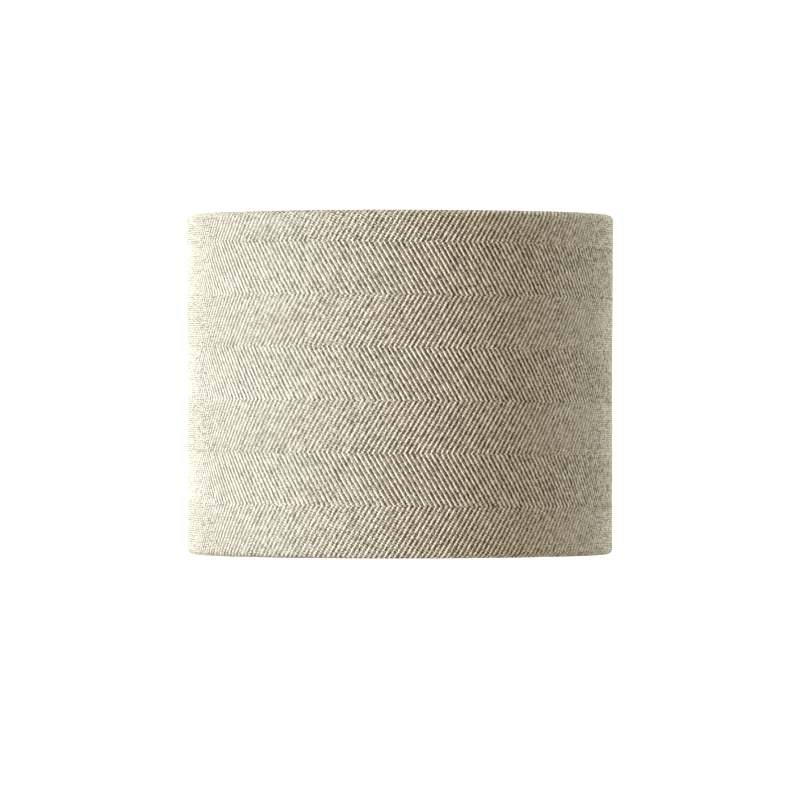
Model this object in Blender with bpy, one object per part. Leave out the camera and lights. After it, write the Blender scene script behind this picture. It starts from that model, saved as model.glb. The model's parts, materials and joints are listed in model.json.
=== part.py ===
"""Drum lamp shade: a herringbone fabric cover on a rigid liner, two wire rings rolled into its edges, and a tilting
gimbal fitter hung from the top ring by three spokes.

Frame: metres, +Z up, origin on the surface that the bottom rim stands on, at the centre of the drum.
The cover's seam is at the back, 30 degrees past +Y towards -X, and the gimbal pivots on the X axis.
"""

import math

import bmesh
import bpy
from mathutils import Matrix, Vector

# Driving dimensions of the drum.
DRUM_DIAMETER = 0.250
DRUM_HEIGHT = 0.200
FABRIC = 0.0008
LINER = 0.0005
TAPE = 0.0002
WIRE_RADIUS = 0.0015
GAP = 0.0003

# Driving dimensions of the fitting.
FITTER_DROP = 0.024
FITTER_BORE_RADIUS = 0.021
REDUCER_BORE_RADIUS = 0.0145
SPOKE_COUNT = 3

# The drum's round pieces share one ring of flat facets, so that they nest without touching.
FACETS = 48
FACET_STEP = math.radians(360 / FACETS)

# From a wire's centre to the fabric wrapped round it, and to the fabric on the wall side, where the liner passes.
WRAP = WIRE_RADIUS + GAP + TAPE + GAP
WRAP_WALL = WRAP + LINER + GAP
RING_RADIUS = DRUM_DIAMETER / 2 - FABRIC - WRAP_WALL
BOTTOM_RING_Z = FABRIC + WRAP
TOP_RING_Z = DRUM_HEIGHT - BOTTOM_RING_Z
COVER_INNER_RADIUS = DRUM_DIAMETER / 2 - FABRIC

# The hem goes round its wire in flats, starting and ending half a flat past the wall and the tuck.
HEM_FLAT = 30
HEM_ANGLES = range(HEM_FLAT // 2, 286, HEM_FLAT)

# The seam: one facet of the cover lies over a tab, with tape between them.
SEAM_ANGLE = 16 * FACET_STEP
LAP_ANGLE = FACET_STEP
SEAM_SLIT = math.radians(0.12)
RISE_START = math.radians(1.8)
RISE_END = math.radians(0.4)
TAB_INSET = 0.00005
TAB_ROOT = math.radians(1.1)
LAP_RISE = FABRIC - TAB_INSET + GAP + TAPE + GAP
RAISED_FROM = 0.011
RAISED_SLOPE = 0.003
TAB_END_MARGIN = 0.013

# The gimbal.
PIVOT_Z = DRUM_HEIGHT - FITTER_DROP
SHEET_STEEL = 0.0012
FITTER_OUTER_RADIUS = 0.0315
FITTER_HALF_HEIGHT = 0.0045
HOOP_INNER_RADIUS = 0.034
HOOP_THICKNESS = 0.0015
HOOP_HALF_HEIGHT = 0.005
PIN_RADIUS = 0.0014
PIN_HOLE_RADIUS = 0.00175
RIVET_HEAD_RADIUS = 0.0026
RIVET_HEAD_HEIGHT = 0.0012
DOME_SHAPE = ((1, 0), (1, 0.4), (0.6, 0.85), (0, 1))
WASHER_RADIUS = 0.0032
WASHER_FACES = (0.0319, 0.0335)
RIVET_SHOULDERS = (0.0298, HOOP_INNER_RADIUS + HOOP_THICKNESS + 0.0004)
SMALL_FACETS = 16
POLE_MERGE = 1e-6

# The reducer: a top-hat ring that hangs in the fitter's bore.
REDUCER_RIM_RADIUS = 0.025
REDUCER_RIM_THICKNESS = 0.002
REDUCER_SPIGOT_RADIUS = FITTER_BORE_RADIUS - 0.0004
REDUCER_WALL = 0.0017
REDUCER_FLOOR = 0.0018
REDUCER_DEPTH = 0.0055

# Spokes: level at both ends, sloping between.
SPOKE_SHOULDER_RADIUS = 0.112
SPOKE_FOOT_RADIUS = 0.046
SPOKE_BEND_RADIUS = 0.006
SPOKE_BEND_POINTS = 4
SPOKE_SIDES_RESOLUTION = 2

# The snip in the hem for a spoke: its width, and how far it goes past the wire's centre, inwards, outwards,
# down and up.
NOTCH_WIDTH = 0.0042
NOTCH_INWARDS = 0.006
NOTCH_OUTWARDS = 0.0016
NOTCH_DOWN = 0.006
NOTCH_UP = 0.0018

FABRIC_BEIGE = (0.55, 0.49, 0.39)
LINER_WHITE = (0.86, 0.86, 0.83)
TAPE_CLEAR = (0.80, 0.79, 0.72)
COATED_WHITE = (0.82, 0.82, 0.80)
BARE_STEEL = (0.60, 0.60, 0.60)
NYLON_WHITE = (0.84, 0.84, 0.80)


def clear_scene():
    for obj in list(bpy.data.objects):
        bpy.data.objects.remove(obj)


def finish(name, colour, roughness, metallic=0.0):
    """The Principled material of that name, made once."""
    material = bpy.data.materials.get(name)
    if material is None:
        material = bpy.data.materials.new(name)
        material.use_nodes = True
        shader = material.node_tree.nodes["Principled BSDF"]
        shader.inputs["Base Color"].default_value = (*colour, 1.0)
        shader.inputs["Roughness"].default_value = roughness
        shader.inputs["Metallic"].default_value = metallic
    return material


def fabric():
    return finish("herringbone_fabric", FABRIC_BEIGE, 0.95)


def liner_sheet():
    return finish("liner_sheet", LINER_WHITE, 0.55)


def clear_tape():
    return finish("clear_tape", TAPE_CLEAR, 0.40)


def coated_steel():
    return finish("white_coated_steel", COATED_WHITE, 0.40)


def bare_steel():
    return finish("zinc_plated_steel", BARE_STEEL, 0.35, 1.0)


def nylon():
    return finish("white_nylon", NYLON_WHITE, 0.45)


def add_object(name, data, material, parent=None):
    obj = bpy.data.objects.new(name, data)
    bpy.context.scene.collection.objects.link(obj)
    data.materials.append(material)
    obj.parent = parent
    return obj


def mesh_from(bm, name, sharp_angle=35):
    """Closes the bmesh work: faces out, smooth where the shape is round."""
    bmesh.ops.recalc_face_normals(bm, faces=bm.faces)
    mesh = bpy.data.meshes.new(name)
    bm.to_mesh(mesh)
    bm.free()
    mesh.shade_smooth()
    mesh.set_sharp_from_angle(angle=math.radians(sharp_angle))
    return mesh


def facet_share(angle):
    """How far out a flat facet lies at this angle, as a share of its corners' radius."""
    half = FACET_STEP / 2
    return math.cos(half) / math.cos(angle % FACET_STEP - half)


def lofted(sections):
    """A closed skin through outlines of (radius, z) at their angles round Z, with a flat cap at each end."""
    bm = bmesh.new()
    loops = []
    for angle, outline in sections:
        share = facet_share(angle)
        loops.append(
            [bm.verts.new((r * share * math.cos(angle), r * share * math.sin(angle), z)) for r, z in outline]
        )
    for low, high in zip(loops[:-1], loops[1:]):
        for i in range(len(low)):
            bm.faces.new((low[i - 1], low[i], high[i], high[i - 1]))
    bm.faces.new(loops[0])
    bm.faces.new(reversed(loops[-1]))
    return bm


def turned(outline, steps=FACETS, ring=True):
    """A shape turned round Z from an outline of (radius, z). A ring's outline closes on itself."""
    bm = bmesh.new()
    corners = [bm.verts.new((r, 0, z)) for r, z in outline]
    edges = [bm.edges.new(pair) for pair in zip(corners[:-1], corners[1:])]
    if ring:
        edges.append(bm.edges.new((corners[-1], corners[0])))
    bmesh.ops.spin(
        bm, geom=corners + edges, cent=(0, 0, 0), axis=(0, 0, 1), angle=math.tau, steps=steps, use_merge=True
    )
    bmesh.ops.remove_doubles(bm, verts=bm.verts, dist=POLE_MERGE)
    return bm


def hem(thickness, ring_z, up):
    """The hem's face at this distance from its inner face: from the wall, over the wire, round to the tuck."""
    scale = 1 / math.cos(math.radians(HEM_FLAT / 2))
    points = []
    for degrees in HEM_ANGLES:
        turn = math.radians(degrees)
        across = (WRAP_WALL if degrees < 90 else WRAP) + thickness
        along = WRAP + thickness
        points.append(
            (RING_RADIUS + across * scale * math.cos(turn), ring_z + up * along * scale * math.sin(turn))
        )
    return points


def cover_face(thickness, rise):
    """One face of the cover, from the bottom tuck up the wall to the top tuck. rise lifts the wall at the lap."""
    wall = COVER_INNER_RADIUS + thickness
    low, high = RAISED_FROM, DRUM_HEIGHT - RAISED_FROM
    return (
        hem(thickness, BOTTOM_RING_Z, -1)[::-1]
        + [(wall, low - RAISED_SLOPE), (wall + rise, low), (wall + rise, high), (wall, high + RAISED_SLOPE)]
        + hem(thickness, TOP_RING_Z, 1)
    )


def cover_section(rise):
    return cover_face(FABRIC, rise) + cover_face(0, rise)[::-1]


def box_outline(inner, outer, low, high):
    return [(inner, low), (outer, low), (outer, high), (inner, high)]


def cutter(name, bm, parent=None):
    """A shape that only cuts others."""
    mesh = bpy.data.meshes.new(name)
    bmesh.ops.recalc_face_normals(bm, faces=bm.faces)
    bm.to_mesh(mesh)
    bm.free()
    obj = bpy.data.objects.new(name, mesh)
    bpy.context.scene.collection.objects.link(obj)
    obj.hide_render = True
    obj.display_type = "WIRE"
    obj.parent = parent
    return obj


def boolean(obj, other, operation="DIFFERENCE"):
    modifier = obj.modifiers.new(operation.title(), "BOOLEAN")
    modifier.operation = operation
    modifier.solver = "EXACT"
    modifier.object = other


def seam_tab():
    """The cover's first edge, which runs on under the lap. It grows out of the middle of the cloth."""
    outline = box_outline(
        COVER_INNER_RADIUS + TAB_INSET,
        COVER_INNER_RADIUS + FABRIC - TAB_INSET,
        TAB_END_MARGIN,
        DRUM_HEIGHT - TAB_END_MARGIN,
    )
    end = SEAM_ANGLE + LAP_ANGLE
    angles = (SEAM_ANGLE, end, end + TAB_ROOT)
    return cutter("seam_tab_shape", lofted([(angle, outline) for angle in angles]))


def spoke_notch(angle):
    """The snip in the hem's tuck that lets a spoke reach the top ring."""
    inner, outer = RING_RADIUS - NOTCH_INWARDS, RING_RADIUS + NOTCH_OUTWARDS
    low, high = TOP_RING_Z - NOTCH_DOWN, TOP_RING_Z + NOTCH_UP
    size = Matrix.Diagonal((outer - inner, NOTCH_WIDTH, high - low, 1))
    place = Matrix.Translation(((inner + outer) / 2, 0, (low + high) / 2))
    bm = bmesh.new()
    bmesh.ops.create_cube(bm, size=1, matrix=Matrix.Rotation(angle, 4, "Z") @ place @ size)
    return cutter("spoke_notch_shape", bm)


def fabric_cover(spoke_angles):
    """One strip of cloth: its hems meet at the seam, and its wall laps over the tab."""
    start = SEAM_ANGLE + LAP_ANGLE
    lap = SEAM_ANGLE + math.tau
    plain = cover_section(0)
    raised = cover_section(LAP_RISE)
    sections = [(start + SEAM_SLIT, plain)]
    sections += [(start + FACET_STEP * i, plain) for i in range(1, FACETS - 1)]
    sections += [(lap - RISE_START, plain), (lap - RISE_END, raised), (lap, raised)]
    sections += [(lap + LAP_ANGLE - SEAM_SLIT, raised)]
    cover = add_object("fabric_cover", mesh_from(lofted(sections), "fabric_cover"), fabric())
    boolean(cover, seam_tab(), "UNION")
    for angle in spoke_angles:
        boolean(cover, spoke_notch(angle))
    return cover


def liner_panel():
    """The rigid sheet behind the cloth, its two ends butted under the seam."""
    inner = COVER_INNER_RADIUS - GAP - LINER
    outline = box_outline(inner, inner + LINER, BOTTOM_RING_Z - GAP, TOP_RING_Z + GAP)
    slit = math.radians(0.15)
    sections = [(SEAM_ANGLE + slit, outline)]
    sections += [(SEAM_ANGLE + FACET_STEP * i, outline) for i in range(1, FACETS)]
    sections += [(SEAM_ANGLE + math.tau - slit, outline)]
    return add_object("liner_panel", mesh_from(lofted(sections), "liner_panel"), liner_sheet())


def seam_tape():
    """The adhesive strip between the tab and the lap."""
    inner = COVER_INNER_RADIUS + FABRIC - TAB_INSET + GAP
    outline = box_outline(inner, inner + TAPE, TAB_END_MARGIN, DRUM_HEIGHT - TAB_END_MARGIN)
    margin = math.radians(0.8)
    sections = [(SEAM_ANGLE + margin, outline), (SEAM_ANGLE + LAP_ANGLE - margin, outline)]
    return add_object("seam_tape", mesh_from(lofted(sections), "seam_tape"), clear_tape())


def wire_ring(name, height):
    bpy.ops.mesh.primitive_torus_add(
        major_radius=RING_RADIUS,
        minor_radius=WIRE_RADIUS,
        major_segments=FACETS,
        minor_segments=8,
        location=(0, 0, height),
    )
    ring = bpy.context.active_object
    ring.name = name
    ring.data.name = name
    ring.data.materials.append(coated_steel())
    ring.data.shade_smooth()
    return ring


def ring_tape(name, height, up):
    """The adhesive strip stuck over the outer side of a wire ring."""
    flat = 45
    scale = 1 / math.cos(math.radians(flat / 2))
    inner = WIRE_RADIUS + GAP

    def face(radius):
        turns = [math.radians(-1.5 * flat + flat * i) for i in range(5)]
        return [(RING_RADIUS + radius * scale * math.cos(t), up * radius * scale * math.sin(t)) for t in turns]

    tape = add_object(name, mesh_from(turned(face(inner + TAPE) + face(inner)[::-1]), name), clear_tape())
    tape.location.z = height
    return tape


def bent_path(corners, radius):
    """The corners joined by straight runs, with each inner corner rounded to the radius."""
    path = [Vector(corners[0])]
    for before, corner, after in zip(corners[:-2], corners[1:-1], corners[2:]):
        corner = Vector(corner)
        back = (Vector(before) - corner).normalized()
        ahead = (Vector(after) - corner).normalized()
        half = back.angle(ahead) / 2
        centre = corner + (back + ahead).normalized() * radius / math.sin(half)
        first = corner + back * radius / math.tan(half) - centre
        last = corner + ahead * radius / math.tan(half) - centre
        shares = [i / (SPOKE_BEND_POINTS - 1) for i in range(SPOKE_BEND_POINTS)]
        path += [centre + radius * first.slerp(last, share) for share in shares]
    return path + [Vector(corners[-1])]


def spoke(name, angle):
    """A wire from the top ring down to the gimbal's hoop."""
    hoop_side = HOOP_INNER_RADIUS + HOOP_THICKNESS + GAP
    corners = [
        (RING_RADIUS - WIRE_RADIUS - GAP, 0, TOP_RING_Z),
        (SPOKE_SHOULDER_RADIUS, 0, TOP_RING_Z),
        (SPOKE_FOOT_RADIUS, 0, PIVOT_Z),
        (hoop_side, 0, PIVOT_Z),
    ]
    path = bent_path(corners, SPOKE_BEND_RADIUS)
    curve = bpy.data.curves.new(name, "CURVE")
    curve.dimensions = "3D"
    curve.bevel_depth = WIRE_RADIUS
    curve.bevel_resolution = SPOKE_SIDES_RESOLUTION
    curve.use_fill_caps = True
    line = curve.splines.new("POLY")
    line.points.add(len(path) - 1)
    for point, place in zip(line.points, path):
        point.co = (*place, 1.0)
    wire = add_object(name, curve, coated_steel())
    wire.rotation_euler.z = angle
    return wire


def pin_hole_cutter(parent):
    """One long drill along X, through both sides of a ring on the gimbal's axis."""
    bm = bmesh.new()
    bmesh.ops.create_cone(
        bm,
        cap_ends=True,
        segments=SMALL_FACETS,
        radius1=PIN_HOLE_RADIUS,
        radius2=PIN_HOLE_RADIUS,
        depth=0.1,
        matrix=Matrix.Rotation(math.radians(90), 4, "Y"),
    )
    return cutter("pin_hole_shape", bm, parent)


def gimbal_hoop(axis):
    """The upright steel band that carries the pivots."""
    outer = HOOP_INNER_RADIUS + HOOP_THICKNESS
    outline = box_outline(HOOP_INNER_RADIUS, outer, -HOOP_HALF_HEIGHT, HOOP_HALF_HEIGHT)
    hoop = add_object("gimbal_hoop", mesh_from(turned(outline), "gimbal_hoop"), coated_steel(), axis)
    boolean(hoop, pin_hole_cutter(axis))
    return hoop


def fitter_ring(axis):
    """The pressed dish that the lampholder goes through: a flat seat with an upturned rim."""
    low, high, rim = -FITTER_HALF_HEIGHT, FITTER_HALF_HEIGHT, FITTER_OUTER_RADIUS
    outline = [
        (FITTER_BORE_RADIUS, low),
        (rim, low),
        (rim, high),
        (rim - SHEET_STEEL, high),
        (rim - SHEET_STEEL, low + SHEET_STEEL),
        (FITTER_BORE_RADIUS, low + SHEET_STEEL),
    ]
    fitter = add_object("fitter_ring", mesh_from(turned(outline), "fitter_ring"), coated_steel(), axis)
    boolean(fitter, pin_hole_cutter(axis))
    return fitter


def reducer_ring(axis):
    """The plastic insert that narrows the bore. Its rim rests on the seat of the fitter."""
    seat = SHEET_STEEL + GAP - FITTER_HALF_HEIGHT
    top = seat + REDUCER_RIM_THICKNESS
    bottom = top - REDUCER_DEPTH
    well = REDUCER_SPIGOT_RADIUS - REDUCER_WALL
    outline = [
        (REDUCER_BORE_RADIUS, bottom),
        (REDUCER_SPIGOT_RADIUS, bottom),
        (REDUCER_SPIGOT_RADIUS, seat),
        (REDUCER_RIM_RADIUS, seat),
        (REDUCER_RIM_RADIUS, top),
        (well, top),
        (well, bottom + REDUCER_FLOOR),
        (REDUCER_BORE_RADIUS, bottom + REDUCER_FLOOR),
    ]
    return add_object("reducer_ring", mesh_from(turned(outline), "reducer_ring"), nylon(), axis)


def pivot_rivet(name, axis, side):
    """A rivet through the hoop and the fitter's rim, with a domed head at each end."""
    inner, outer = RIVET_SHOULDERS
    dome = [(r * RIVET_HEAD_RADIUS, z * RIVET_HEAD_HEIGHT) for r, z in DOME_SHAPE]
    profile = [(r, inner - z) for r, z in dome[::-1]]
    profile += [(PIN_RADIUS, inner), (PIN_RADIUS, outer)]
    profile += [(r, outer + z) for r, z in dome]
    rivet = add_object(name, mesh_from(turned(profile, SMALL_FACETS, ring=False), name), bare_steel(), axis)
    rivet.rotation_euler.y = side * math.radians(90)
    return rivet


def pivot_washer(name, axis, side):
    """The spacer that keeps the fitter central in the hoop."""
    inner, outer = WASHER_FACES
    outline = box_outline(PIN_HOLE_RADIUS, WASHER_RADIUS, inner, outer)
    washer = add_object(name, mesh_from(turned(outline, SMALL_FACETS), name), nylon(), axis)
    washer.rotation_euler.y = side * math.radians(90)
    return washer


def gimbal():
    axis = bpy.data.objects.new("gimbal_axis", None)
    axis.location.z = PIVOT_Z
    bpy.context.scene.collection.objects.link(axis)
    gimbal_hoop(axis)
    fitter_ring(axis)
    reducer_ring(axis)
    for side, hand in ((1, "right"), (-1, "left")):
        pivot_rivet(f"pivot_rivet_{hand}", axis, side)
        pivot_washer(f"pivot_washer_{hand}", axis, side)


def main():
    clear_scene()
    spoke_angles = [math.radians(90) + math.tau * i / SPOKE_COUNT for i in range(SPOKE_COUNT)]
    fabric_cover(spoke_angles)
    liner_panel()
    seam_tape()
    wire_ring("top_ring", TOP_RING_Z)
    wire_ring("bottom_ring", BOTTOM_RING_Z)
    ring_tape("top_ring_tape", TOP_RING_Z, 1)
    ring_tape("bottom_ring_tape", BOTTOM_RING_Z, -1)
    for number, angle in enumerate(spoke_angles, start=1):
        spoke(f"spoke_{number}", angle)
    gimbal()


main()
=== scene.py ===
import json
import math

import bmesh
import bpy
from mathutils import Matrix, Vector


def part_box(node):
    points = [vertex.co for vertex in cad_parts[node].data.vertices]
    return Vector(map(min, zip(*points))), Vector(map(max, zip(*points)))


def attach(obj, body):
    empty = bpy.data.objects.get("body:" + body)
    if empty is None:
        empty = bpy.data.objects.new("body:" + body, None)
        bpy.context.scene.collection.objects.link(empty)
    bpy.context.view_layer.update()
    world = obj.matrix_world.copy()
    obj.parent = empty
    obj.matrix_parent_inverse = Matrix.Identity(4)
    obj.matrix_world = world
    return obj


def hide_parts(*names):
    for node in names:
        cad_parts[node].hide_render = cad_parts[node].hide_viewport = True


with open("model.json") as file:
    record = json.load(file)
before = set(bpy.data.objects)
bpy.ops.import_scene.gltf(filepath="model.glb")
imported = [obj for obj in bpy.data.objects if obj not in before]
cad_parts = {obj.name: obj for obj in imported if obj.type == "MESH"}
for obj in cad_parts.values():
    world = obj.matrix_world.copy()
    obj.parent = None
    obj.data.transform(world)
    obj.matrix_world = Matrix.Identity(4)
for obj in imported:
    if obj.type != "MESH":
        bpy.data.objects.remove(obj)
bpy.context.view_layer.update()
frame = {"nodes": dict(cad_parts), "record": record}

MM = 0.001

# The drum, from the frame.
COVER_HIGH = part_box("fabric_cover")[1]
RING_LOW, RING_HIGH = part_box("top_ring")
LOW_RING_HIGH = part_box("bottom_ring")[1]
DRUM_RADIUS = COVER_HIGH.x
DRUM_HEIGHT = COVER_HIGH.z
WIRE_RADIUS = (RING_HIGH.z - RING_LOW.z) / 2
RING_RADIUS = RING_HIGH.x - WIRE_RADIUS
TOP_RING_Z = RING_HIGH.z - WIRE_RADIUS
LOW_RING_Z = LOW_RING_HIGH.z - WIRE_RADIUS

# The cloth: a 2/2 twill, reversed every 24 picks into a zigzag. Threads stand upright, picks run round.
THREADS_ROUND = 1040
PICK = 1.2625 * MM
BAND_PICKS = 24
RIB_THREADS = 4
LAP_THREADS = 22
CLOTH_THICKNESS = 0.8 * MM
SEAM_ANGLE = math.radians(120)

# How the cloth lies on the drum: its picks a little out of level, its edge a little wider at the top.
SLANT = 1.2 * MM
WANDER = 0.6 * MM
FLARE = 0.45 * MM
FLARE_START = 0.5
FLARE_END = 0.95

# The ribs as ridges: the weft's are lower, and all of them rise and sink a little along the cloth.
RIB_HEIGHT = 0.46 * MM
RIB_SEAT = 0.7
WEFT_RIB_SHARE = 0.35
LEAST_RIB = 0.75
RIB_SWING = 0.5

# The slow unevenness of the cloth: cells to a thread and to a pick, and how many times finer each use is.
CLOUD_THREAD = 0.02
CLOUD_PICK = 0.04
RIB_CLOUDS = 2.2
WANDER_CLOUDS = 1.3

# The lap, in cloth thicknesses, and where it rises, in threads from the first end.
LAP_RISE = 1.1
LAP_START = -5.0
LAP_FULL = 0.5

# Mesh columns of the cloth: six to a rib, one in each groove.
COLUMN_THREADS = 2 / 3
GROOVE_COLUMNS = 3
RIB_COLUMNS = 6
COLUMNS = round((THREADS_ROUND + LAP_THREADS + BAND_PICKS) / COLUMN_THREADS)

# Mesh rows, in picks: fine round each wire, wide on the wall, and back again on the hidden face.
HEM_FIRST_PICK = -9.9
HEM_ROW = 1.2375
HEM_ROWS = 12
WALL_ROW = 12
WALL_ROWS = 12
TOP_LAST_PICK = 168
FACE_ROWS = 37
BACK_HEM_ROW = 1.9
BACK_HEM_ROWS = 8
BACK_WALL_ROW = 30
BACK_ROWS = 20

# How far the cloth runs round each wire, its length to each radian of that, and how flat it is pressed there.
HEM_TURN = math.radians(285)
HEM_SWEEP = 3.25 * MM
HEM_PRESS = 0.1 * MM
HEM_RIB_SHARE = 0.5

# Points closer than this are one point.
MERGE = 0.01 * MM


# Numbers worked out by nodes, for materials and shapes alike.


class Field:
    """A number that nodes work out. Sums and products of fields add the Math nodes."""

    def __init__(self, tree, socket):
        self.tree = tree
        self.socket = socket

    def math(self, operation, *others):
        node = self.tree.nodes.new("ShaderNodeMath")
        node.operation = operation
        for socket, value in zip(node.inputs, (self, *others)):
            plug(self.tree, socket, value)
        return Field(self.tree, node.outputs[0])

    def __add__(self, other):
        return self.math("ADD", other)

    def __radd__(self, other):
        return self.math("ADD", other)

    def __sub__(self, other):
        return self.math("SUBTRACT", other)

    def __rsub__(self, other):
        return self.math("MULTIPLY_ADD", -1.0, other)

    def __mul__(self, other):
        return self.math("MULTIPLY", other)

    def __rmul__(self, other):
        return self.math("MULTIPLY", other)

    def __truediv__(self, other):
        return self.math("DIVIDE", other)

    def __mod__(self, other):
        return self.math("FLOORED_MODULO", other)

    def __lt__(self, other):
        return self.math("LESS_THAN", other)

    def __gt__(self, other):
        return self.math("GREATER_THAN", other)

    def floor(self):
        return self.math("FLOOR")

    def part(self):
        return self.math("FRACT")

    def round(self):
        return self.math("ROUND")

    def sin(self):
        return self.math("SINE")

    def cos(self):
        return self.math("COSINE")

    def root(self):
        return self.math("SQRT")

    def size(self):
        return self.math("ABSOLUTE")

    def zigzag(self, reach):
        return self.math("PINGPONG", reach)

    def least(self, other):
        return self.math("MINIMUM", other)

    def most(self, other):
        return self.math("MAXIMUM", other)

    def between(self, low, high):
        return self.most(low).least(high)

    def pick(self, yes, no):
        """yes where this field is 1, no where it is 0."""
        return self * yes + (1 - self) * no

    def ease(self, start, end):
        """0 before start, 1 after end, smooth between."""
        node = self.tree.nodes.new("ShaderNodeMapRange")
        node.interpolation_type = "SMOOTHSTEP"
        plug(self.tree, node.inputs[0], self)
        plug(self.tree, node.inputs[1], start)
        plug(self.tree, node.inputs[2], end)
        return Field(self.tree, node.outputs[0])


def plug(tree, socket, value):
    """Links a field or a socket to a node's input, or sets the input's own value."""
    if isinstance(value, Field):
        value = value.socket
    if isinstance(value, bpy.types.NodeSocket):
        tree.links.new(value, socket)
    else:
        socket.default_value = value


def split(tree, vector):
    node = tree.nodes.new("ShaderNodeSeparateXYZ")
    plug(tree, node.inputs[0], vector)
    return [Field(tree, output) for output in node.outputs]


def joined(tree, x, y, z=0.0):
    node = tree.nodes.new("ShaderNodeCombineXYZ")
    for socket, value in zip(node.inputs, (x, y, z)):
        plug(tree, socket, value)
    return node.outputs[0]


def noise(tree, vector, scale, detail=2.0, roughness=0.5):
    """Cloudy noise from 0 to 1, with its middle at 0.5."""
    node = tree.nodes.new("ShaderNodeTexNoise")
    plug(tree, node.inputs["Vector"], vector)
    node.inputs["Scale"].default_value = scale
    node.inputs["Detail"].default_value = detail
    node.inputs["Roughness"].default_value = roughness
    return Field(tree, node.outputs[0])


def chance(tree, x, y=0.0):
    """An even number from 0 to 1 for each whole x and y."""
    node = tree.nodes.new("ShaderNodeTexWhiteNoise")
    node.noise_dimensions = "2D"
    plug(tree, node.inputs["Vector"], joined(tree, x, y))
    return Field(tree, node.outputs["Value"])


def swing(field, reach):
    """Turns a number from 0 to 1 into one that goes half the reach either way."""
    return reach * (field - 0.5)


# Materials.


def new_material(name, roughness, metallic=0.0):
    material = bpy.data.materials.new(name)
    material.use_nodes = True
    shader = material.node_tree.nodes["Principled BSDF"]
    shader.inputs["Roughness"].default_value = roughness
    shader.inputs["Metallic"].default_value = metallic
    return material, material.node_tree, shader


def blend_colours(tree, share, dark, light):
    node = tree.nodes.new("ShaderNodeMix")
    node.data_type = "RGBA"
    plug(tree, node.inputs[0], share)
    for socket, colour in ((node.inputs[6], dark), (node.inputs[7], light)):
        plug(tree, socket, colour if isinstance(colour, bpy.types.NodeSocket) else (*colour, 1.0))
    return node.outputs[2]


def raise_surface(tree, shader, height, distance):
    node = tree.nodes.new("ShaderNodeBump")
    node.inputs["Strength"].default_value = 1.0
    node.inputs["Distance"].default_value = distance
    plug(tree, node.inputs["Height"], height)
    plug(tree, shader.inputs["Normal"], node.outputs[0])


def object_place(tree):
    return tree.nodes.new("ShaderNodeTexCoord").outputs["Object"]


# Yarns, each with the colour of its lit top, a painted highlight, and of its sides, painted shade. The brown
# weft is a darker yarn deepened to stand for the shade between the cream ribs. Its side colour, near black,
# is painted shadow in the gaps between yarns.
WARP_YARN = (0.95, 0.905, 0.80)
WARP_SHADE = (0.66, 0.605, 0.49)
WEFT_YARN_AND_SHADE = (0.16, 0.105, 0.048)
WEFT_SHADE = (0.008, 0.004, 0.001)
FLECK_PINK = (0.70, 0.50, 0.42)
FLECK_OLIVE = (0.50, 0.58, 0.40)
FLECK_SIZE = 0.35
FLECK_SEED = 4.0
PINK_ABOVE = 0.60
OLIVE_BELOW = 0.40
FLECK_STRENGTH = 2.0
# How strongly each yarn's height drives the painted highlight on its top and the painted shade down its
# sides, the weft's more so.
LIT_SHARE = 0.9
LIT_WEFT = 1.6
FIBRE_TONE = 1.1
UNEVEN_TONE = 0.4
CLOTH_ROUGHNESS = 0.55
YARN_GLOSS = 0.75

# How far threads and picks wander from their places, and how slowly.
THREAD_WANDER = 0.5
THREAD_WANDER_SCALE = 0.23
PICK_WANDER = 0.4
PICK_WANDER_SCALE = 0.31

# The yarn's relief, and what each part of it adds.
YARN_RELIEF = 0.35 * MM
YARN_FULLNESS = 3.2
YARN_EDGE = 0.02
FLOAT_BEND = 1.3
WEFT_HEIGHT = 0.6
YARN_SHARE = 0.5
CREST_SHARE = 0.75
CREST_SHIFT = 0.4
FIBRE_SHARE = 0.3

# How the cream covers the brown: rib by rib in part, the rest float by float, with a beat at every pick. The
# rib share paints shade along the groove beside each rib, and the beat paints dark shadow dots where the
# floats meet and brighter dashes along them.
CREAM_SHIFT = 0.5
CREAM_SPREAD = 1.2
RISING_SMOOTH = 0.5
FALLING_SMOOTH = 0.6
RIB_CONTRAST = 1.6
RISING_BEAT = 2.3
FALLING_BEAT = 1.7
BEAT_SPREAD = 0.45
BEAT_SEED = 7.0
SLUB_SWING = 0.6
UNEVEN_SWING = 0.95

# Fibres and slubs, as noise cells to a thread across and to a pick along.
FIBRES_IN_THREAD = 3.1
FIBRES_IN_PICK = 1.7
SLUBS_IN_THREAD = 0.9
SLUBS_IN_PICK = 0.3


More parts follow.
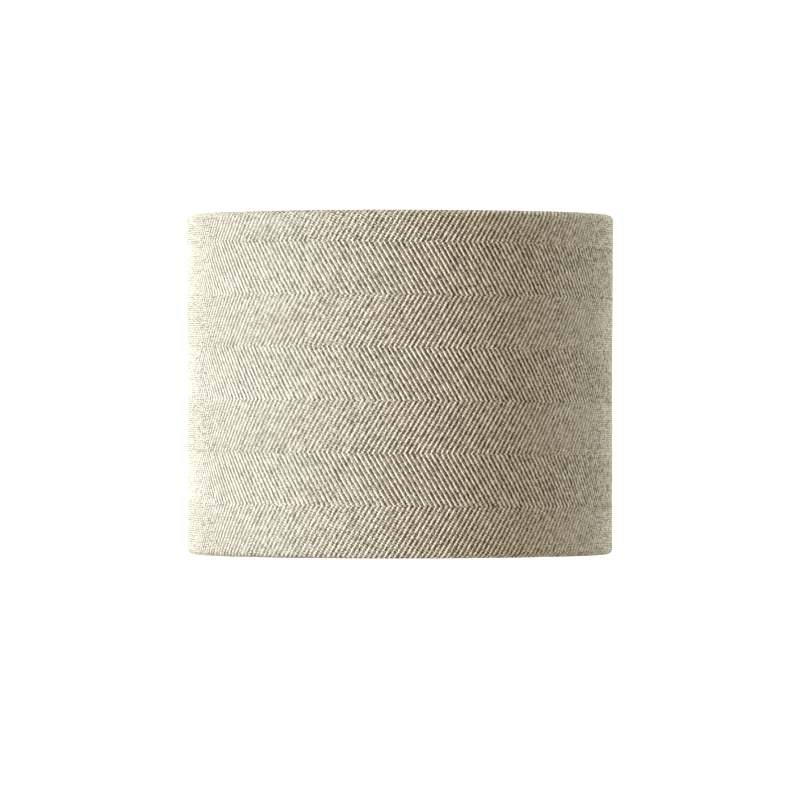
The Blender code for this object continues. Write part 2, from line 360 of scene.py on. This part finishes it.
class Weave:
    """Where a point of the cloth is: in its thread, in its pick, in its float and across its rib."""

    def __init__(self, tree):
        weave = tree.nodes.new("ShaderNodeUVMap")
        weave.uv_map = "weave"
        thread, pick, _ = split(tree, weave.outputs[0])
        sideways = noise(tree, joined(tree, thread, pick), THREAD_WANDER_SCALE)
        self.thread = thread + swing(sideways, THREAD_WANDER)
        upwards = noise(tree, joined(tree, pick, self.thread), PICK_WANDER_SCALE)
        self.pick = pick + swing(upwards, PICK_WANDER)
        self.number = self.thread.floor()
        self.row = self.pick.floor()
        self.across = self.thread.part() - 0.5
        self.along = self.pick.part() - 0.5
        self.rib = (self.thread - self.pick.zigzag(BAND_PICKS)) % RIB_THREADS
        self.step = (self.number - self.row.zigzag(BAND_PICKS)) % RIB_THREADS
        self.warp_up = self.step < 1.5
        self.falling = (self.pick / (2 * BAND_PICKS)).part() > 0.5

    def ridge(self, shift):
        """1 along the top of a warp rib and 0 in the groove, moved aside by so many threads."""
        middle = 0.5 + self.falling
        return 0.5 + 0.5 * ((self.rib - middle - shift) * (math.tau / RIB_THREADS)).cos()

    def yarn_tops(self):
        """The warp's height and the weft's: round across, bent down at both ends of a float."""
        up_float = self.along + (1 - 2 * self.falling) * ((self.step < 0.5) - 0.5)
        cross_float = self.across + 0.5 - (self.step < 2.5)

        def yarn(side, length):
            roundness = (1 - YARN_FULLNESS * side * side).most(YARN_EDGE).root()
            return roundness * (length * FLOAT_BEND).cos()

        return yarn(self.across, up_float), WEFT_HEIGHT * yarn(self.along, cross_float)


def cream_share(tree, weave, uneven):
    """How far the cream warp covers the brown weft, from 0 to 1. This also paints shade into the grooves and
    dark shadow dots between the floats.
    """
    smooth = weave.falling.pick(FALLING_SMOOTH, RISING_SMOOTH)
    ribs = (0.5 + CREAM_SPREAD * (weave.ridge(CREAM_SHIFT) - 0.5)).between(0.0, 1.0)
    cover = weave.warp_up * (1 - smooth) + ribs * smooth
    # The beat at every pick paints dark shadow dots in the gaps between floats and brighter dashes along
    # them.
    late = weave.pick + swing(chance(tree, weave.number, BEAT_SEED), BEAT_SPREAD)
    shadow_dot_beat = RIB_CONTRAST - weave.falling.pick(FALLING_BEAT, RISING_BEAT) * (late * math.tau).cos()
    slub = noise(tree, joined(tree, weave.number * SLUBS_IN_THREAD, weave.pick * SLUBS_IN_PICK), 1.0)
    share = 0.5 + (cover - 0.5) * shadow_dot_beat + swing(slub, SLUB_SWING) + swing(uneven, UNEVEN_SWING)
    return share.between(0.0, 1.0)


def herringbone():
    """Two-up two-down twill, thread by thread: cream warp floats over a brown weft that lies lower. Its
    colour has painted highlights on the yarn tops and painted shade down their sides, along the grooves and
    in the gaps between floats.
    """
    material, tree, shader = new_material("herringbone_cloth", CLOTH_ROUGHNESS)
    shader.inputs["Specular IOR Level"].default_value = YARN_GLOSS
    weave = Weave(tree)
    warp, weft = weave.yarn_tops()
    uneven = chance(tree, weave.number, weave.row)
    fine = joined(tree, weave.thread * FIBRES_IN_THREAD, weave.pick * FIBRES_IN_PICK)
    fibre = noise(tree, fine, 1.0, 3.0, 0.6)

    # Painted highlight and painted shade: each yarn's colour runs from its shaded sides to its lit top with
    # the yarn's height. The brown weft is partly a darker yarn and partly painted shade.
    lit = LIT_SHARE * weave.warp_up.pick(warp, LIT_WEFT * weft)
    shade = (lit + swing(fibre, FIBRE_TONE) + swing(uneven, UNEVEN_TONE)).between(0.0, 1.0)
    cream = blend_colours(tree, shade, WARP_SHADE, WARP_YARN)
    brown = blend_colours(tree, shade, WEFT_SHADE, WEFT_YARN_AND_SHADE)
    share = cream_share(tree, weave, uneven)
    colour = blend_colours(tree, share, brown, cream)
    spot = joined(tree, weave.number * FLECK_SIZE, weave.row * FLECK_SIZE, FLECK_SEED)
    tint = noise(tree, spot, 1.0, 1.0)
    pink = (tint - PINK_ABOVE).most(0.0) * FLECK_STRENGTH * share
    olive = (OLIVE_BELOW - tint).most(0.0) * FLECK_STRENGTH * share
    colour = blend_colours(tree, pink, colour, FLECK_PINK)
    colour = blend_colours(tree, olive, colour, FLECK_OLIVE)
    plug(tree, shader.inputs["Base Color"], colour)

    yarn = YARN_SHARE * weave.warp_up.pick(warp, weft)
    height = yarn + CREST_SHARE * weave.ridge(CREST_SHIFT) + swing(fibre, FIBRE_SHARE)
    raise_surface(tree, shader, height, YARN_RELIEF)
    return material


def plain_finish(name, roughness, dark, light, clouds, grain, relief):
    """Two close tones in soft clouds, with a fine grain. Clouds and grain are given as (scale, detail)."""
    material, tree, shader = new_material(name, roughness)
    place = object_place(tree)
    plug(tree, shader.inputs["Base Color"], blend_colours(tree, noise(tree, place, *clouds), dark, light))
    raise_surface(tree, shader, noise(tree, place, *grain), relief)
    return material


def powder_coat():
    """White powder coat on steel: faint orange peel."""
    return plain_finish(
        "powder_coat",
        roughness=0.38,
        dark=(0.7812, 0.7812, 0.7626),
        light=(0.84, 0.84, 0.82),
        clouds=(90.0, 3.0),
        grain=(1400.0, 2.0),
        relief=0.04 * MM,
    )


def moulded_plastic():
    """White nylon with a spark-eroded mould's fine grain."""
    return plain_finish(
        "moulded_nylon",
        roughness=0.42,
        dark=(0.80, 0.80, 0.76),
        light=(0.86, 0.86, 0.83),
        clouds=(60.0, 2.0),
        grain=(2600.0, 2.0),
        relief=0.02 * MM,
    )


def liner_sheet():
    """White PVC sheet: satin, with the faint grain of a calendered face and a little dust."""
    return plain_finish(
        "liner_sheet",
        roughness=0.5,
        dark=(0.80, 0.80, 0.76),
        light=(0.87, 0.87, 0.84),
        clouds=(24.0, 3.0),
        grain=(1800.0, 2.0),
        relief=0.03 * MM,
    )


def clear_tape():
    """Clear tape gone slightly yellow, wrinkled where it was laid round."""
    return plain_finish(
        "clear_tape",
        roughness=0.35,
        dark=(0.70, 0.68, 0.58),
        light=(0.82, 0.81, 0.74),
        clouds=(300.0, 3.0),
        grain=(300.0, 3.0),
        relief=0.05 * MM,
    )


def zinc():
    """Bright zinc plate, scratched a little duller in places."""
    material, tree, shader = new_material("bright_zinc", 0.32, 1.0)
    scratch = noise(tree, object_place(tree), 900.0, 4.0, 0.7)
    plate = blend_colours(tree, scratch, (0.48, 0.48, 0.47), (0.72, 0.72, 0.70))
    plug(tree, shader.inputs["Base Color"], plate)
    plug(tree, shader.inputs["Roughness"], 0.25 + 0.2 * scratch)
    raise_surface(tree, shader, scratch, 0.02 * MM)
    return material


# Shapes made by geometry nodes.

SOCKET_TYPES = {float: "NodeSocketFloat", int: "NodeSocketInt", bpy.types.Material: "NodeSocketMaterial"}


class Recipe:
    """A geometry-nodes tree with named inputs, and the mesh object that it makes."""

    def __init__(self, name, **inputs):
        self.name = name
        self.inputs = inputs
        self.tree = bpy.data.node_groups.new(name, "GeometryNodeTree")
        self.identifiers = {}
        for label, value in inputs.items():
            kind = SOCKET_TYPES[type(value)]
            socket = self.tree.interface.new_socket(label, in_out="INPUT", socket_type=kind)
            self.identifiers[label] = socket.identifier
        self.tree.interface.new_socket("Shape", in_out="OUTPUT", socket_type="NodeSocketGeometry")
        self.entry = self.tree.nodes.new("NodeGroupInput")
        self.exit = self.tree.nodes.new("NodeGroupOutput")

    def value(self, label):
        return Field(self.tree, self.entry.outputs[label])

    def node(self, kind, **sockets):
        """A node with its inputs plugged by name, with _ for spaces."""
        node = self.tree.nodes.new(kind)
        for label, value in sockets.items():
            plug(self.tree, node.inputs[label.replace("_", " ")], value)
        return node

    def piece(self, shape):
        """Ends the tree and turns its result into a plain mesh object."""
        real = self.node("GeometryNodeRealizeInstances", Geometry=shape)
        material = self.value("Material")
        painted = self.node("GeometryNodeSetMaterial", Geometry=real.outputs[0], Material=material)
        self.tree.links.new(painted.outputs[0], self.exit.inputs[0])
        holder = bpy.data.objects.new(self.name, bpy.data.meshes.new(self.name + "_seed"))
        bpy.context.scene.collection.objects.link(holder)
        modifier = holder.modifiers.new(self.name, "NODES")
        modifier.node_group = self.tree
        for label, value in self.inputs.items():
            modifier[self.identifiers[label]] = value
        graph = bpy.context.evaluated_depsgraph_get()
        mesh = bpy.data.meshes.new_from_object(holder.evaluated_get(graph))
        holder.modifiers.remove(modifier)
        mesh.name = self.name
        holder.data = mesh
        return holder


def rows_to_picks(row):
    """The pick that a mesh row lies on, and 1 on the cloth's face or 0 on its back."""
    face = row < FACE_ROWS - 0.5
    low_hem = HEM_FIRST_PICK + HEM_ROW * row
    wall = WALL_ROW * (row - (HEM_ROWS - 1))
    top_hem = TOP_LAST_PICK - HEM_ROW * (FACE_ROWS - 1 - row)
    above_low_hem = (row < HEM_ROWS + WALL_ROWS - 0.5).pick(wall, top_hem)
    face_pick = (row < HEM_ROWS - 0.5).pick(low_hem, above_low_hem)
    back = row - FACE_ROWS
    back_top = TOP_LAST_PICK - BACK_HEM_ROW * back
    back_wall_start = TOP_LAST_PICK - BACK_HEM_ROW * (BACK_HEM_ROWS - 1)
    back_wall = back_wall_start - BACK_WALL_ROW * (back - (BACK_HEM_ROWS - 1))
    back_low = HEM_FIRST_PICK + BACK_HEM_ROW * (BACK_ROWS - 1 - back)
    below_top_hem = (back < BACK_ROWS - BACK_HEM_ROWS - 0.5).pick(back_wall, back_low)
    back_pick = (back < BACK_HEM_ROWS - 0.5).pick(back_top, below_top_hem)
    return face.pick(face_pick, back_pick), face


def columns_to_threads(column, pick, face):
    """Along the zigzag on the face, evenly on the back, cut straight at both ends.

    Gives the thread that a mesh column lies on, and 1 where the column isn't cut off.
    """
    back_shear = (TOP_LAST_PICK - pick) * (-HEM_FIRST_PICK / (TOP_LAST_PICK - HEM_FIRST_PICK))
    shear = face.pick(pick.zigzag(BAND_PICKS), back_shear)
    free_thread = column * COLUMN_THREADS - BAND_PICKS + shear
    thread = free_thread.between(0.0, THREADS_ROUND + LAP_THREADS)
    return thread, 1 - ((free_thread - thread).size() > 0.001)


def cloth_cover(material):
    """The cover as one strip of cloth. Its mesh columns follow the ribs, so that each rib is a ridge."""
    recipe = Recipe(
        "cloth_cover",
        Material=material,
        Radius=DRUM_RADIUS,
        Ring=RING_RADIUS,
        Rib=RIB_HEIGHT,
        Thickness=CLOTH_THICKNESS,
        Flare=FLARE,
        Seed=11,
    )
    rib_height = recipe.value("Rib")
    thickness = recipe.value("Thickness")
    ring = recipe.value("Ring")
    tree = recipe.tree
    rows = FACE_ROWS + BACK_ROWS + 1
    grid = recipe.node(
        "GeometryNodeMeshGrid",
        Size_X=float(COLUMNS),
        Size_Y=float(rows - 1),
        Vertices_X=COLUMNS + 1,
        Vertices_Y=rows,
    )
    x, y, _ = split(tree, tree.nodes.new("GeometryNodeInputPosition").outputs[0])
    column = (x + COLUMNS / 2).round()
    row = (y + (rows - 1) / 2).round() % (FACE_ROWS + BACK_ROWS)
    pick, face = rows_to_picks(row)
    thread, inside = columns_to_threads(column, pick, face)

    # Ribs: a groove every third column, the warp's ridges higher than the weft's.
    weft_rib = (column % RIB_COLUMNS) > GROOVE_COLUMNS - 0.5
    ridge = (column % GROOVE_COLUMNS).least(1.0) * (1 - (1 - WEFT_RIB_SHARE) * weft_rib)
    cloud = joined(tree, thread * CLOUD_THREAD, pick * CLOUD_PICK, recipe.value("Seed"))
    rib = rib_height * ridge * inside * face * (LEAST_RIB + RIB_SWING * noise(tree, cloud, RIB_CLOUDS))

    # The lap rises over the first end.
    lap = thickness * LAP_RISE * thread.ease(THREADS_ROUND + LAP_START, THREADS_ROUND + LAP_FULL)
    depth = rib - rib_height * RIB_SEAT - (1 - face) * thickness + lap

    # Up the wall and round the wires.
    turn = thread * (math.tau / THREADS_ROUND) + SEAM_ANGLE
    length = pick * PICK - SLANT * turn.cos() + swing(noise(tree, cloud, WANDER_CLOUDS), WANDER)
    low_turn = ((LOW_RING_Z - length) / HEM_SWEEP).between(0.0, HEM_TURN)
    top_turn = ((length - TOP_RING_Z) / HEM_SWEEP).between(0.0, HEM_TURN)
    hem_turn = low_turn.most(top_turn)
    wall_reach = recipe.value("Radius") - ring + depth
    pressed = HEM_RIB_SHARE * (rib - rib_height) - HEM_PRESS
    wire_reach = LOW_RING_Z + pressed - (1 - face) * thickness
    reach = (hem_turn.cos() > 0.0).pick(wall_reach, wire_reach)
    height = length.between(LOW_RING_Z, TOP_RING_Z) + wire_reach * (top_turn.sin() - low_turn.sin())
    flare = recipe.value("Flare") * height.ease(FLARE_START * DRUM_HEIGHT, FLARE_END * DRUM_HEIGHT)
    radius = ring + reach * hem_turn.cos() + flare

    stored = recipe.node("GeometryNodeStoreNamedAttribute", Geometry=grid.outputs[0])
    stored.data_type = "FLOAT2"
    stored.domain = "CORNER"
    stored.inputs["Name"].default_value = "weave"
    plug(tree, stored.inputs["Value"], joined(tree, thread, pick + 0.5))
    place = joined(tree, radius * turn.cos(), radius * turn.sin(), height)
    moved = recipe.node("GeometryNodeSetPosition", Geometry=stored.outputs[0], Position=place)
    merged = recipe.node("GeometryNodeMergeByDistance", Geometry=moved.outputs[0], Distance=MERGE)
    cover = recipe.piece(merged.outputs[0])
    close_ends(cover)
    return cover


def close_ends(obj, sharp=80):
    """Caps what is open, turns the faces outwards and smooths them up to that angle in degrees."""
    bm = bmesh.new()
    bm.from_mesh(obj.data)
    bmesh.ops.holes_fill(bm, edges=[edge for edge in bm.edges if edge.is_boundary])
    bmesh.ops.recalc_face_normals(bm, faces=bm.faces)
    bm.to_mesh(obj.data)
    bm.free()
    obj.data.shade_smooth()
    obj.data.set_sharp_from_angle(angle=math.radians(sharp))


# The fittings inside: rolled, bent, pressed and moulded.

PIVOT_Z = sum(corner.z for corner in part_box("gimbal_hoop")) / 2
AROUND = 144
ROUNDING_STEPS = 3
TURNED_SHARP = 40

LINER_SIDES = 180
LINER_THICKNESS = 0.5 * MM
LINER_LAP = math.radians(5.5)
LINER_TUCK = math.radians(2.0)
LINER_STEP = 1.15 * LINER_THICKNESS

SPOKES = 3
SPOKE_SHOULDER = 112 * MM
SPOKE_FOOT = 46 * MM
SPOKE_BEND = 1.6 * MM
SPOKE_STATIONS = 70
SPOKE_SIDES = 16
SPOKE_SHARP = 50
FIRST_SPOKE = math.radians(90)
SLOPE_REACH = 0.1 * MM
BEAD = 0.9 * MM
BEAD_LENGTH = 2.4 * MM
HOOP_WELD_GAP = 0.2 * MM
RING_WELD_GAP = 1.2 * MM

HOOP_THICKNESS = 1.5 * MM
HOOP_EDGE = 0.45 * MM
DISH_SHEET = 1.2 * MM
DISH_BORE = 21 * MM

REDUCER_SIDES = 240
REDUCER_LOBES = 20
LOBE_DEPTH = 0.7 * MM
LOBE_BAND = 1.0 * MM
LOBE_SHARPNESS = 4
REDUCER_RIM = 2.0 * MM
REDUCER_SPIGOT = 20.6 * MM
REDUCER_WELL = 18.9 * MM
REDUCER_BORE = 14.5 * MM
REDUCER_FLOOR = 1.8 * MM

RIVET_SIDES = 32
RIVET_DOME = 1.2 * MM
RIVET_PIN = 1.4 * MM
DOME_STEPS = 6
WASHER_SIDES = 40
WASHER_HOLE = 1.6 * MM
WASHER_EDGE = 0.25 * MM


def lofted(name, sections, material, closed=True, open_loop=False):
    """A skin over sections of equal length. An open loop has its two end points on the axis of turning."""
    bm = bmesh.new()
    loops = [[bm.verts.new(point) for point in section] for section in sections]
    followers = loops[1:] + loops[:1] if closed else loops[1:]
    last = len(sections[0]) - 1 if open_loop else len(sections[0])
    for loop, follower in zip(loops, followers):
        for i in range(last):
            j = (i + 1) % len(loop)
            bm.faces.new((loop[i], follower[i], follower[j], loop[j]))
    bmesh.ops.remove_doubles(bm, verts=bm.verts, dist=0.001 * MM)
    mesh = bpy.data.meshes.new(name)
    bm.to_mesh(mesh)
    bm.free()
    mesh.materials.append(material)
    obj = bpy.data.objects.new(name, mesh)
    bpy.context.scene.collection.objects.link(obj)
    close_ends(obj, TURNED_SHARP)
    return obj


def softened(corners):
    """Corners given as (radius, height, rounding), each replaced by a small curve."""
    outline = []
    for i, (r, z, rounding) in enumerate(corners):
        corner = Vector((r, z))
        before = Vector(corners[i - 1][:2]) - corner
        after = Vector(corners[(i + 1) % len(corners)][:2]) - corner
        start = corner + before.normalized() * min(rounding, 0.48 * before.length)
        end = corner + after.normalized() * min(rounding, 0.48 * after.length)
        for step in range(ROUNDING_STEPS + 1):
            t = step / ROUNDING_STEPS
            outline.append(start * (1 - t) ** 2 + corner * (2 * t * (1 - t)) + end * t ** 2)
    return outline


def turned(name, outline, material, sides=AROUND, lobes=0, lobe_depth=0.0, lobes_from=0.0, open_loop=False):
    """An outline of (radius, height) turned about the upright axis, its outside scalloped if it has lobes."""
    sections = []
    for side in range(sides):
        turn = math.tau * side / sides
        bite = lobe_depth * (0.5 - 0.5 * math.cos(lobes * turn)) ** LOBE_SHARPNESS
        reach = [r - bite * (r > lobes_from) for r, z in outline]
        sections.append([(r * math.cos(turn), r * math.sin(turn), z) for r, (_, z) in zip(reach, outline)])
    return lofted(name, sections, material, open_loop=open_loop)


def liner_drum(material):
    """The plastic liner as one strip, its last end lying over the first on the inside."""
    low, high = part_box("liner_panel")
    sections = []
    for side in range(LINER_SIDES + 1):
        turn = (math.tau + LINER_LAP) * side / LINER_SIDES
        tuck = min(max((turn - math.tau) / LINER_TUCK + 1.0, 0.0), 1.0)
        outer = high.x - LINER_STEP * tuck * tuck * (3 - 2 * tuck)
        inner = outer - LINER_THICKNESS
        outline = [(outer, low.z), (outer, high.z), (inner, high.z), (inner, low.z)]
        place = SEAM_ANGLE + math.pi + turn
        sections.append([(r * math.cos(place), r * math.sin(place), z) for r, z in outline])
    return lofted("liner_drum", sections, material, closed=False)


def wire_spokes(material):
    """Three bent wires from the top ring down to the hoop, with a weld bead at each end."""
    hoop_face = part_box("gimbal_hoop")[1].x
    recipe = Recipe(
        "wire_spokes",
        Material=material,
        Wire=WIRE_RADIUS,
        Bend=SPOKE_BEND,
        Bead=BEAD,
        Inner=hoop_face + HOOP_WELD_GAP,
        Outer=RING_RADIUS - RING_WELD_GAP,
    )
    tree = recipe.tree
    grid = recipe.node(
        "GeometryNodeMeshGrid", Size_X=1.0, Size_Y=1.0, Vertices_X=SPOKE_STATIONS, Vertices_Y=SPOKE_SIDES + 1
    )
    x, y, _ = split(tree, tree.nodes.new("GeometryNodeInputPosition").outputs[0])
    inner, outer = recipe.value("Inner"), recipe.value("Outer")
    bend = recipe.value("Bend")
    station = x + 0.5
    reach = inner + (outer - inner) * station

    def level(radius):
        line = PIVOT_Z + (radius - SPOKE_FOOT) * ((TOP_RING_Z - PIVOT_Z) / (SPOKE_SHOULDER - SPOKE_FOOT))
        return line.math("SMOOTH_MIN", TOP_RING_Z, bend).math("SMOOTH_MAX", PIVOT_Z, bend)

    slope = (level(reach + SLOPE_REACH) - level(reach - SLOPE_REACH)) / (2 * SLOPE_REACH)
    tilt = (1 + slope * slope).root()
    foot_bead = 1 - reach.ease(inner, inner + BEAD_LENGTH)
    ring_bead = reach.ease(outer - BEAD_LENGTH, outer)
    thick = recipe.value("Wire") + recipe.value("Bead") * foot_bead.most(ring_bead)
    around = y * math.tau
    lift = thick * around.cos()
    place = joined(tree, reach - lift * slope / tilt, thick * around.sin(), level(reach) + lift / tilt)
    moved = recipe.node("GeometryNodeSetPosition", Geometry=grid.outputs[0], Position=place)
    tube = recipe.node("GeometryNodeMergeByDistance", Geometry=moved.outputs[0], Distance=MERGE)
    points = recipe.node("GeometryNodeMeshCircle", Vertices=SPOKES, Radius=0.0)
    index = Field(tree, tree.nodes.new("GeometryNodeInputIndex").outputs[0])
    turn = joined(tree, 0.0, 0.0, index * (math.tau / SPOKES) + FIRST_SPOKE)
    set_out = recipe.node(
        "GeometryNodeInstanceOnPoints", Points=points.outputs[0], Instance=tube.outputs[0], Rotation=turn
    )
    spokes = recipe.piece(set_out.outputs[0])
    close_ends(spokes, SPOKE_SHARP)
    return spokes


def hoop(material):
    """The upright band, with soft edges."""
    low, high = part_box("gimbal_hoop")
    inner = high.x - HOOP_THICKNESS
    corners = [
        (inner, low.z, HOOP_EDGE),
        (high.x, low.z, HOOP_EDGE),
        (high.x, high.z, HOOP_EDGE),
        (inner, high.z, HOOP_EDGE),
    ]
    return turned("hoop_band", softened(corners), material)


def fitter_dish(material):
    """The pressed dish: a flat seat round the bore, a drawn corner and a trimmed rim."""
    low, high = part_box("fitter_ring")
    inside, seat = high.x - DISH_SHEET, low.z + DISH_SHEET
    corners = [
        (DISH_BORE, low.z, 0.3 * MM),
        (high.x, low.z, 2.0 * MM),
        (high.x, high.z, 0.4 * MM),
        (inside, high.z, 0.4 * MM),
        (inside, seat, 0.9 * MM),
        (DISH_BORE, seat, 0.3 * MM),
    ]
    return turned("fitter_dish", softened(corners), material)


def moulded_reducer(material):
    """The plastic insert: a scalloped rim for the fingers, and a short spigot with a floor."""
    low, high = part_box("reducer_ring")
    seat = high.z - REDUCER_RIM
    floor = low.z + REDUCER_FLOOR
    corners = [
        (REDUCER_BORE, low.z, 0.3 * MM),
        (REDUCER_SPIGOT, low.z, 0.8 * MM),
        (REDUCER_SPIGOT, seat, 0.1 * MM),
        (high.x, seat, 0.3 * MM),
        (high.x, high.z, 0.7 * MM),
        (REDUCER_WELL, high.z, 0.5 * MM),
        (REDUCER_WELL, floor, 0.4 * MM),
        (REDUCER_BORE, floor, 0.3 * MM),
    ]
    return turned(
        "moulded_reducer",
        softened(corners),
        material,
        sides=REDUCER_SIDES,
        lobes=REDUCER_LOBES,
        lobe_depth=LOBE_DEPTH,
        lobes_from=high.x - LOBE_BAND,
    )


def laid_on_side(obj):
    """Turns a piece from the upright axis to the left-right axis, in its mesh."""
    obj.data.transform(Matrix.Rotation(math.radians(90), 4, "Y"))
    obj.data.transform(Matrix.Translation((0.0, 0.0, PIVOT_Z)))
    return obj


def rivet(node, material):
    """A pin with a domed head at each end."""
    low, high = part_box(node)
    head = high.y
    near, far = low.x + RIVET_DOME, high.x - RIVET_DOME
    arc = [math.radians(90) * step / DOME_STEPS for step in range(DOME_STEPS + 1)]
    outline = [(head * math.sin(a), near - RIVET_DOME * math.cos(a)) for a in arc]
    outline += [(RIVET_PIN, near), (RIVET_PIN, far)]
    outline += [(head * math.cos(a), far + RIVET_DOME * math.sin(a)) for a in arc]
    return laid_on_side(turned(node + "_pin", outline, material, RIVET_SIDES, open_loop=True))


def washer(node, material):
    """A flat disc with a hole and soft edges."""
    low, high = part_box(node)
    corners = [
        (WASHER_HOLE, low.x, WASHER_EDGE),
        (high.y, low.x, WASHER_EDGE),
        (high.y, high.x, WASHER_EDGE),
        (WASHER_HOLE, high.x, WASHER_EDGE),
    ]
    return laid_on_side(turned(node + "_disc", softened(corners), material, WASHER_SIDES))


# The studio: a cool key at the left, a cool rim light at the right, a weak one overhead, and a warm room.

CAMERA_DISTANCE = 4.0
CAMERA_HEIGHT = 0.0909
LENS = 305.5
LIGHT_DISTANCE = 2.0
LIGHT_HEIGHT = 0.1
UPRIGHT_BOX = (0.9, 2.4)
KEY_AZIMUTH = -58
KEY_POWER = 64
KEY_COLOUR = (0.82, 0.925, 1.0)
RIM_AZIMUTH = 110
RIM_POWER = 42
RIM_COLOUR = (0.64, 0.86, 1.0)
OVERHEAD_BOX = (1.2, 1.2)
OVERHEAD_POWER = 18
OVERHEAD_COLOUR = (0.85, 0.94, 1.0)
ROOM_COLOUR = (1.0, 0.81, 0.535, 1.0)
ROOM_STRENGTH = 0.575
STAGE_GLOW = 0.9
FLOOR_RADIUS = 30.0
DOME_RADIUS = 32.0


def camera():
    data = bpy.data.cameras.new("camera")
    data.lens = LENS
    data.sensor_width = 36.0
    data.clip_end = 100.0
    obj = bpy.data.objects.new("camera", data)
    obj.location = (0.0, -CAMERA_DISTANCE, CAMERA_HEIGHT)
    obj.rotation_euler = (math.radians(90), 0.0, 0.0)
    bpy.context.scene.collection.objects.link(obj)
    bpy.context.scene.camera = obj
    view = bpy.context.scene.view_settings
    view.view_transform = "Standard"
    view.look = "None"


def soft_box(name, size, power, colour):
    """An area light at the middle of the drum, shining down."""
    data = bpy.data.lights.new(name, "AREA")
    data.shape = "RECTANGLE"
    data.size, data.size_y = size
    data.energy = power
    data.color = colour
    obj = bpy.data.objects.new(name, data)
    bpy.context.scene.collection.objects.link(obj)
    return obj


def stood_up(light, azimuth):
    """Stands a light upright, turned to the drum. Azimuth 0 is in front, 90 is at the right."""
    turn = math.radians(azimuth)
    light.location = (LIGHT_DISTANCE * math.sin(turn), -LIGHT_DISTANCE * math.cos(turn), LIGHT_HEIGHT)
    light.rotation_euler = (math.radians(90), 0.0, turn)
    return light


def lights():
    world = bpy.data.worlds.new("room")
    world.use_nodes = True
    background = world.node_tree.nodes["Background"]
    background.inputs["Color"].default_value = ROOM_COLOUR
    background.inputs["Strength"].default_value = ROOM_STRENGTH
    bpy.context.scene.world = world
    world.cycles_visibility.glossy = False
    stood_up(soft_box("key_left", UPRIGHT_BOX, KEY_POWER, KEY_COLOUR), KEY_AZIMUTH)
    rim = stood_up(soft_box("rim_right", UPRIGHT_BOX, RIM_POWER, RIM_COLOUR), RIM_AZIMUTH)
    rim.visible_glossy = False
    overhead = soft_box("overhead", OVERHEAD_BOX, OVERHEAD_POWER, OVERHEAD_COLOUR)
    overhead.location.z = LIGHT_DISTANCE


def stage_piece(name, bm, material):
    """A piece of the white surround. It is seen, and neither lights nor shades the drum."""
    mesh = bpy.data.meshes.new(name)
    bm.to_mesh(mesh)
    bm.free()
    mesh.materials.append(material)
    obj = bpy.data.objects.new(name, mesh)
    bpy.context.scene.collection.objects.link(obj)
    obj.visible_diffuse = False
    obj.visible_glossy = False
    obj.visible_shadow = False
    return obj


def white_stage():
    white, _, shader = new_material("white_stage", 0.5)
    shader.inputs["Base Color"].default_value = (0.9, 0.9, 0.9, 1.0)
    shader.inputs["Emission Color"].default_value = (1.0, 1.0, 1.0, 1.0)
    shader.inputs["Emission Strength"].default_value = STAGE_GLOW
    disc = bmesh.new()
    bmesh.ops.create_circle(disc, cap_ends=True, radius=FLOOR_RADIUS, segments=96)
    ball = bmesh.new()
    bmesh.ops.create_icosphere(ball, subdivisions=4, radius=DOME_RADIUS)
    bmesh.ops.reverse_faces(ball, faces=ball.faces)
    floor = stage_piece("floor", disc, white)
    dome = stage_piece("dome", ball, white)


SLOTS = {part["node"]: part["material_slot"] for part in frame["record"]["subparts"]}
FINISHES = {
    "herringbone_fabric": herringbone(),
    "liner_sheet": liner_sheet(),
    "clear_tape": clear_tape(),
    "white_coated_steel": powder_coat(),
    "zinc_plated_steel": zinc(),
    "white_nylon": moulded_plastic(),
}


def stands_for(piece, body, *nodes):
    """The piece replaces those CAD nodes, which are hidden, and moves with their body."""
    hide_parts(*nodes)
    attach(piece, body)


def finish_of(node):
    return FINISHES[SLOTS[node]]


camera()
lights()
white_stage()

cloth = cloth_cover(finish_of("fabric_cover"))
stands_for(cloth, "shade", "fabric_cover")

stands_for(liner_drum(finish_of("liner_panel")), "shade", "liner_panel")
stands_for(wire_spokes(finish_of("spoke_1")), "shade", "spoke_1", "spoke_2", "spoke_3")
stands_for(hoop(finish_of("gimbal_hoop")), "shade", "gimbal_hoop")
stands_for(fitter_dish(finish_of("fitter_ring")), "fitter", "fitter_ring")
stands_for(moulded_reducer(finish_of("reducer_ring")), "reducer", "reducer_ring")
for side in ("left", "right"):
    rivet_node, washer_node = "pivot_rivet_" + side, "pivot_washer_" + side
    stands_for(rivet(rivet_node, finish_of(rivet_node)), "shade", rivet_node)
    stands_for(washer(washer_node, finish_of(washer_node)), "shade", washer_node)

for node in ("top_ring", "bottom_ring", "top_ring_tape", "bottom_ring_tape", "seam_tape"):
    mesh = frame["nodes"][node].data
    mesh.materials.clear()
    mesh.materials.append(finish_of(node))
